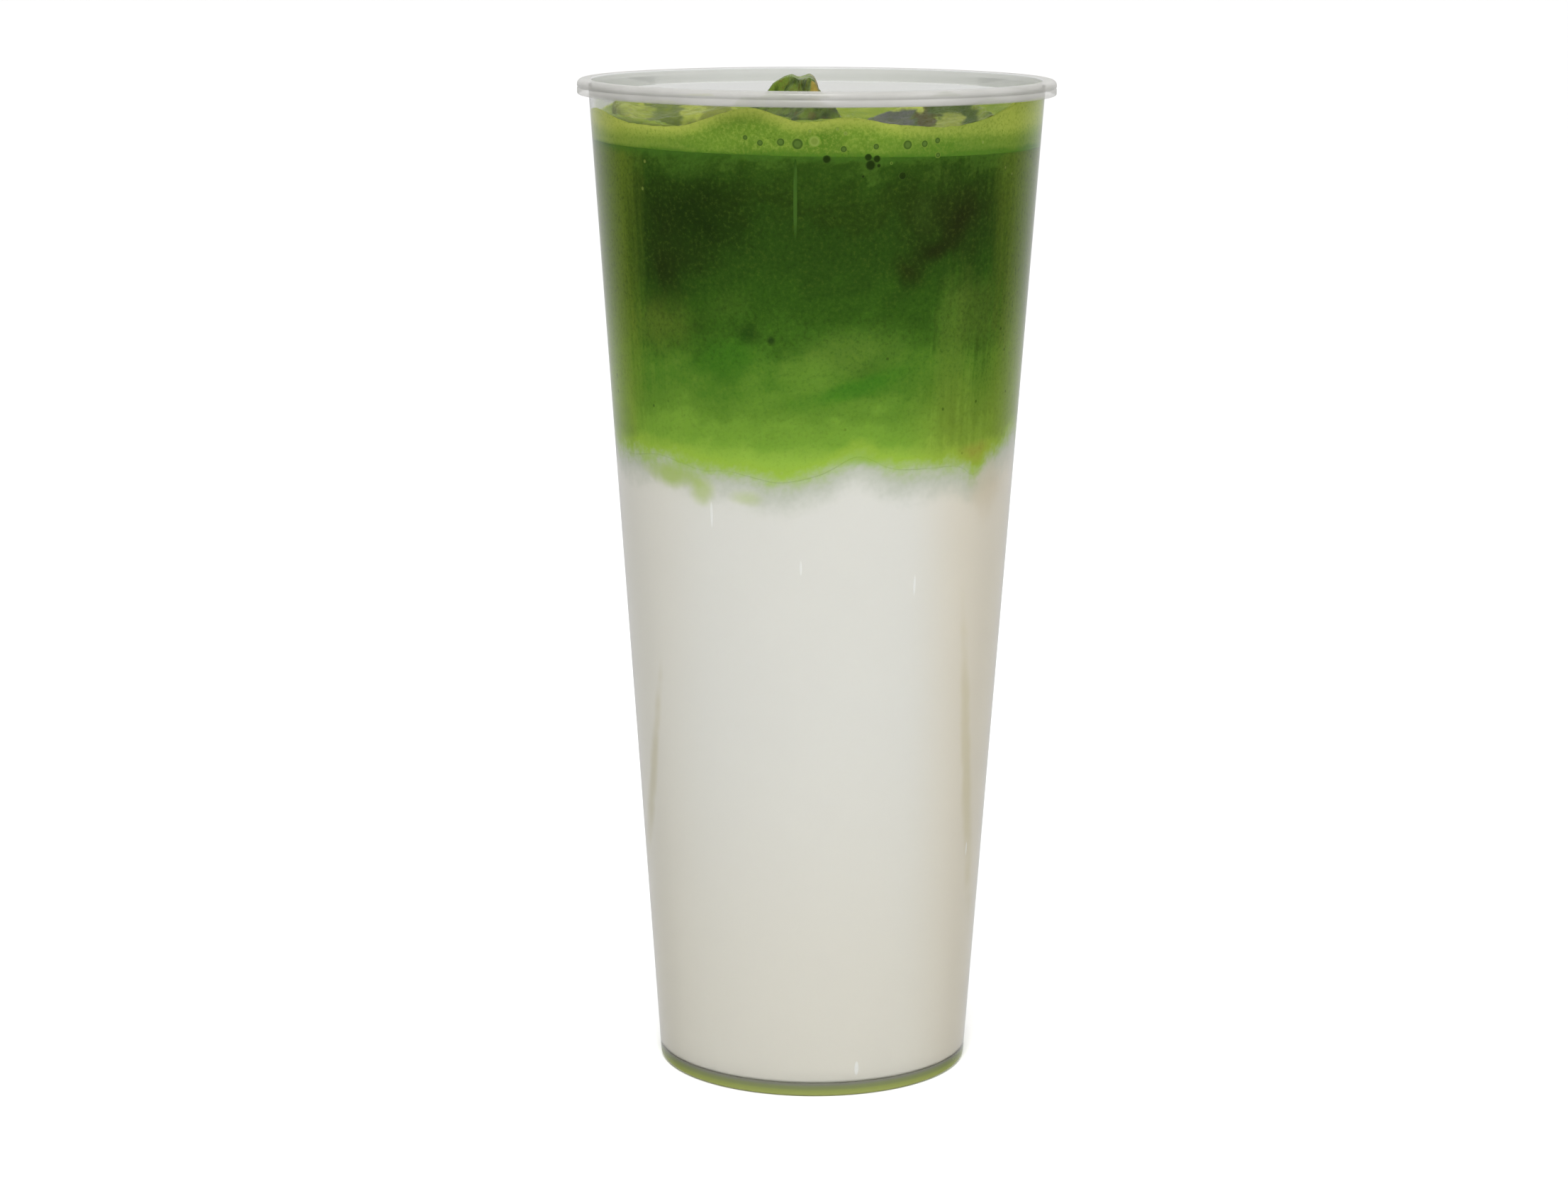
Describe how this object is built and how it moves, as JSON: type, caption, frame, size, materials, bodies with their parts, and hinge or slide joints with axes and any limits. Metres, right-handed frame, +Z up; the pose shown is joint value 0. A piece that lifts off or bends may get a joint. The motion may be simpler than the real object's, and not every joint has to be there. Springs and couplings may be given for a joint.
{
  "type": "iced matcha latte",
  "caption": "Layered iced matcha latte, milk under green matcha and froth with ice cubes, in a tall clear plastic cup with a rolled rim; to drink from or serve.",
  "frame": {"origin": "centre of the foot ring's plane, under the cup's axis", "axes": "+Z up along the cup's axis, -Y towards the viewer of the picture, +X to the viewer's right"},
  "size_m": [0.09, 0.09, 0.19],
  "materials": {
    "clear_plastic": "clear moulded polypropylene, faintly hazy, smooth gloss",
    "milk": "opaque cool white milk seen through the cup wall",
    "matcha": "cloudy deep green tea, paler and yellower where it meets the milk",
    "froth": "fine olive green froth with small bubbles",
    "ice": "wet clear ice filmed with green froth"
  },
  "bodies": {
    "root": {"cup": "clear_plastic", "milk": "milk", "matcha": "matcha", "froth": "froth", "ice_1": "ice", "ice_2": "ice", "ice_3": "ice", "ice_4": "ice", "ice_5": "ice"}
  },
  "joints": []
}
